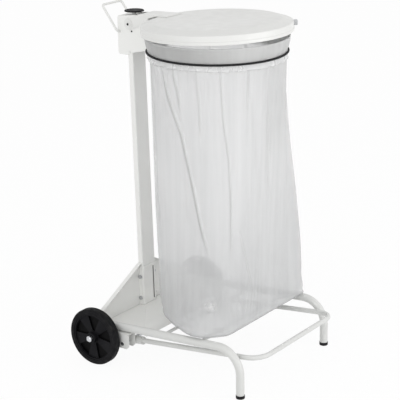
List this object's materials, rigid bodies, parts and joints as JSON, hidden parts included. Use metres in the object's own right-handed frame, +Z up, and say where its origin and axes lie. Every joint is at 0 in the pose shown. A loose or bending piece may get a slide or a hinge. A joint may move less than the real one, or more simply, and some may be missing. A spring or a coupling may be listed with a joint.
{
  "type": "bin bag holder",
  "caption": "Wheeled steel stand that holds a refuse bag in a round hoop under a hinged lid, opened by a foot pedal through a linkage inside its post.",
  "frame": {"origin": "centre of the bounding box's footprint, on the floor", "axes": "+X along the wheels' axles, to the right of someone who stands at the pedal and looks at the post; +Y from the pedal to the wheels; +Z up"},
  "size_m": [0.5556, 0.616, 0.9582],
  "materials": {
    "white_enamel": "semi-gloss white powder coat",
    "zinc_steel": "bright zinc plate",
    "black_plastic": "matt moulded plastic",
    "wheel_plastic": "satin moulded plastic",
    "tyre_rubber": "matt solid rubber",
    "stop_rubber": "matt rubber",
    "elastic": "matt elastic cord",
    "grey_plastic": "satin moulded plastic",
    "bag_film": "thin milky film, softly glossy and folded"
  },
  "bodies": {
    "frame": {"rail_left": "white_enamel", "rail_right": "white_enamel", "foot_cap_left": "black_plastic", "foot_cap_right": "black_plastic", "rail_plugs": "black_plastic", "cross_rod_front": "white_enamel", "cross_rod_rear": "white_enamel", "deck": "white_enamel", "axle_bracket_left": "white_enamel", "axle_bracket_right": "white_enamel", "wheel_axle_left": "zinc_steel", "wheel_axle_right": "zinc_steel", "axle_nuts": "zinc_steel", "hub_cap_left": "zinc_steel", "hub_cap_right": "zinc_steel", "post": "white_enamel", "post_strap": "white_enamel", "brace_left": "white_enamel", "brace_right": "white_enamel", "brace_bolts": "zinc_steel", "head_bracket": "white_enamel", "head_bolts": "zinc_steel", "stop_disc": "stop_rubber", "push_handle": "white_enamel", "bag_hoop": "white_enamel", "elastic_strap": "elastic", "bag": "bag_film"},
    "pedal": {"pedal_rod": "white_enamel", "pedal_socket_left": "white_enamel", "pedal_socket_right": "white_enamel", "rocker_shaft": "zinc_steel", "lift_lever": "zinc_steel"},
    "push_rod": {"push_rod": "zinc_steel"},
    "lid": {"lid": "white_enamel", "lid_arm": "white_enamel", "lid_knob": "grey_plastic", "hinge_pin": "zinc_steel", "lid_crank": "zinc_steel"},
    "wheel_left": {"wheel_disc_left": "wheel_plastic", "tyre_left": "tyre_rubber"},
    "wheel_right": {"wheel_disc_right": "wheel_plastic", "tyre_right": "tyre_rubber"}
  },
  "joints": [
    {"name": "pedal_press", "type": "hinge", "parent": "frame", "child": "pedal", "pos_m": [0, 0.12275, 0.068], "axis": [1, 0, 0], "range_deg": [0, 12]},
    {"name": "rod_lift", "type": "slide", "parent": "frame", "child": "push_rod", "axis": [0, 0.0188, 0.9998], "range_m": [0, 0.01824]},
    {"name": "lid_open", "type": "hinge", "parent": "frame", "child": "lid", "pos_m": [0, 0.22075, 0.909], "axis": [-1, 0, 0], "range_deg": [0, 75.5]},
    {"name": "wheel_left_spin", "type": "hinge", "parent": "frame", "child": "wheel_left", "pos_m": [-0.247, 0.20175, 0.08], "axis": [1, 0, 0], "continuous": true},
    {"name": "wheel_right_spin", "type": "hinge", "parent": "frame", "child": "wheel_right", "pos_m": [0.247, 0.20175, 0.08], "axis": [1, 0, 0], "continuous": true}
  ],
  "couplings": [
    {"joint": "rod_lift", "follows": "pedal_press", "m_per_rad": 0.086142},
    {"joint": "lid_open", "follows": "pedal_press", "ratio": 6.25}
  ]
}
